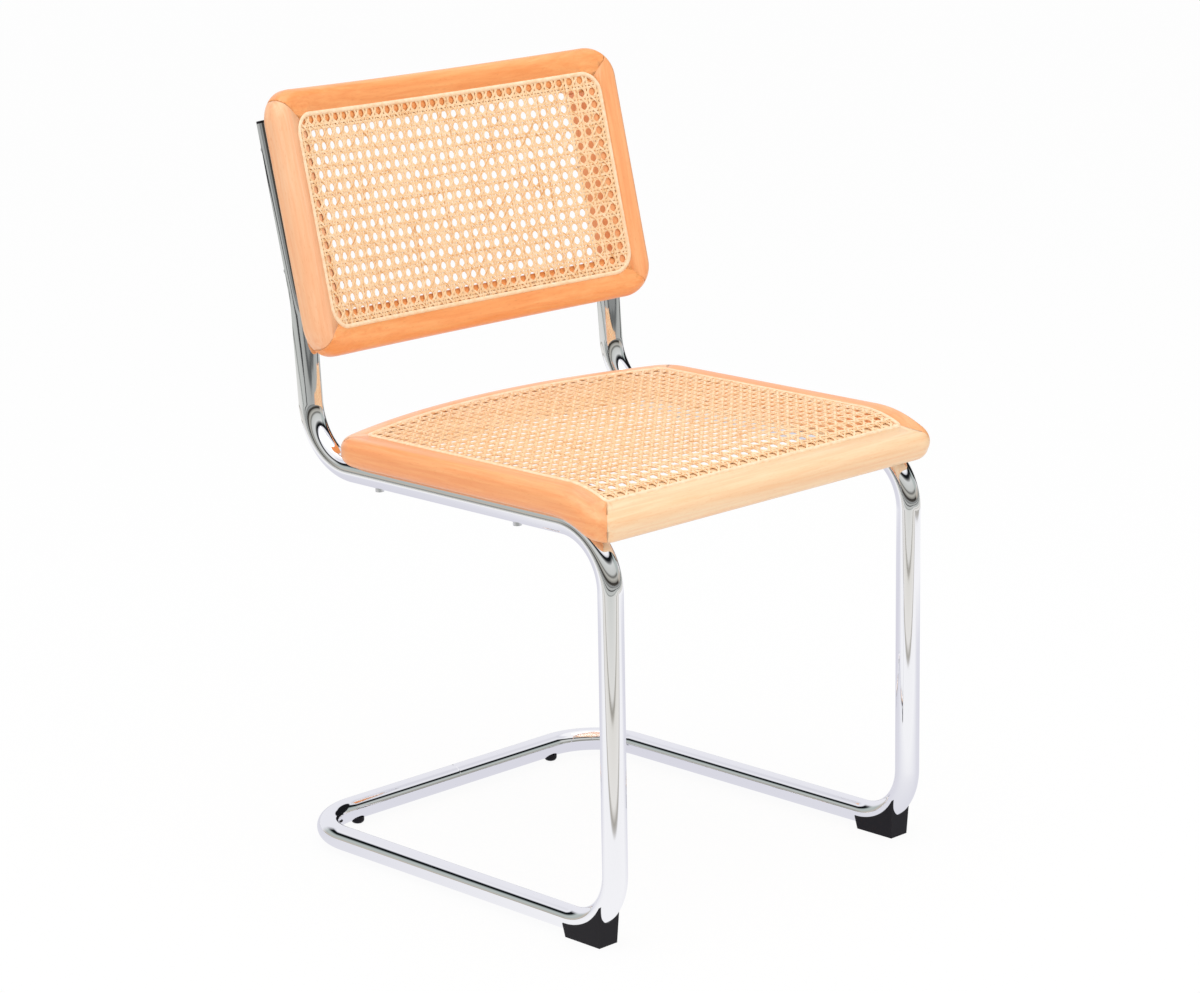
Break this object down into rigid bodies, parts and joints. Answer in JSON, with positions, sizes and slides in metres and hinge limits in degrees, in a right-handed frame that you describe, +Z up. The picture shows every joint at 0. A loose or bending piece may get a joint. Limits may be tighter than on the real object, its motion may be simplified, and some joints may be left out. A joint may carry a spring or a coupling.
{
  "type": "cantilever chair",
  "caption": "Side chair: a bent chromed tube cantilever frame carries a cane seat and a curved cane backrest in mitred wooden frames.",
  "frame": {"origin": "on the floor, below the middle of the chair's bounding box", "axes": "+Z up, -Y towards the front of the seat, +X to the sitter's left"},
  "size_m": [0.486, 0.5142, 0.7923],
  "materials": {
    "tube": "polished chrome plate",
    "frame_wood": "beech, orange-brown satin lacquer",
    "dowel_wood": "plain beech dowel",
    "cane": "woven cane, natural, light satin",
    "spline": "reed spline, natural",
    "black_plastic": "black moulded plastic",
    "steel_fasteners": "zinc-plated steel"
  },
  "bodies": {
    "root": {"back_bottom_rail": "frame_wood", "back_cane": "cane", "back_spline": "spline", "back_top_rail": "frame_wood", "left_back_lower_dowel": "dowel_wood", "left_back_lower_screw": "steel_fasteners", "left_back_stile": "frame_wood", "left_back_upper_dowel": "dowel_wood", "left_back_upper_screw": "steel_fasteners", "left_frame_tube": "tube", "left_front_foot": "black_plastic", "left_joint_rivet": "steel_fasteners", "left_rear_glide": "black_plastic", "left_seat_front_dowel": "dowel_wood", "left_seat_front_screw": "steel_fasteners", "left_seat_rail": "frame_wood", "left_seat_rear_dowel": "dowel_wood", "left_seat_rear_screw": "steel_fasteners", "left_tube_cap": "black_plastic", "rear_joint_sleeve": "steel_fasteners", "right_back_lower_dowel": "dowel_wood", "right_back_lower_screw": "steel_fasteners", "right_back_stile": "frame_wood", "right_back_upper_dowel": "dowel_wood", "right_back_upper_screw": "steel_fasteners", "right_frame_tube": "tube", "right_front_foot": "black_plastic", "right_joint_rivet": "steel_fasteners", "right_rear_glide": "black_plastic", "right_seat_front_dowel": "dowel_wood", "right_seat_front_screw": "steel_fasteners", "right_seat_rail": "frame_wood", "right_seat_rear_dowel": "dowel_wood", "right_seat_rear_screw": "steel_fasteners", "right_tube_cap": "black_plastic", "seat_cane": "cane", "seat_front_rail": "frame_wood", "seat_rear_rail": "frame_wood", "seat_spline": "spline"}
  },
  "joints": []
}
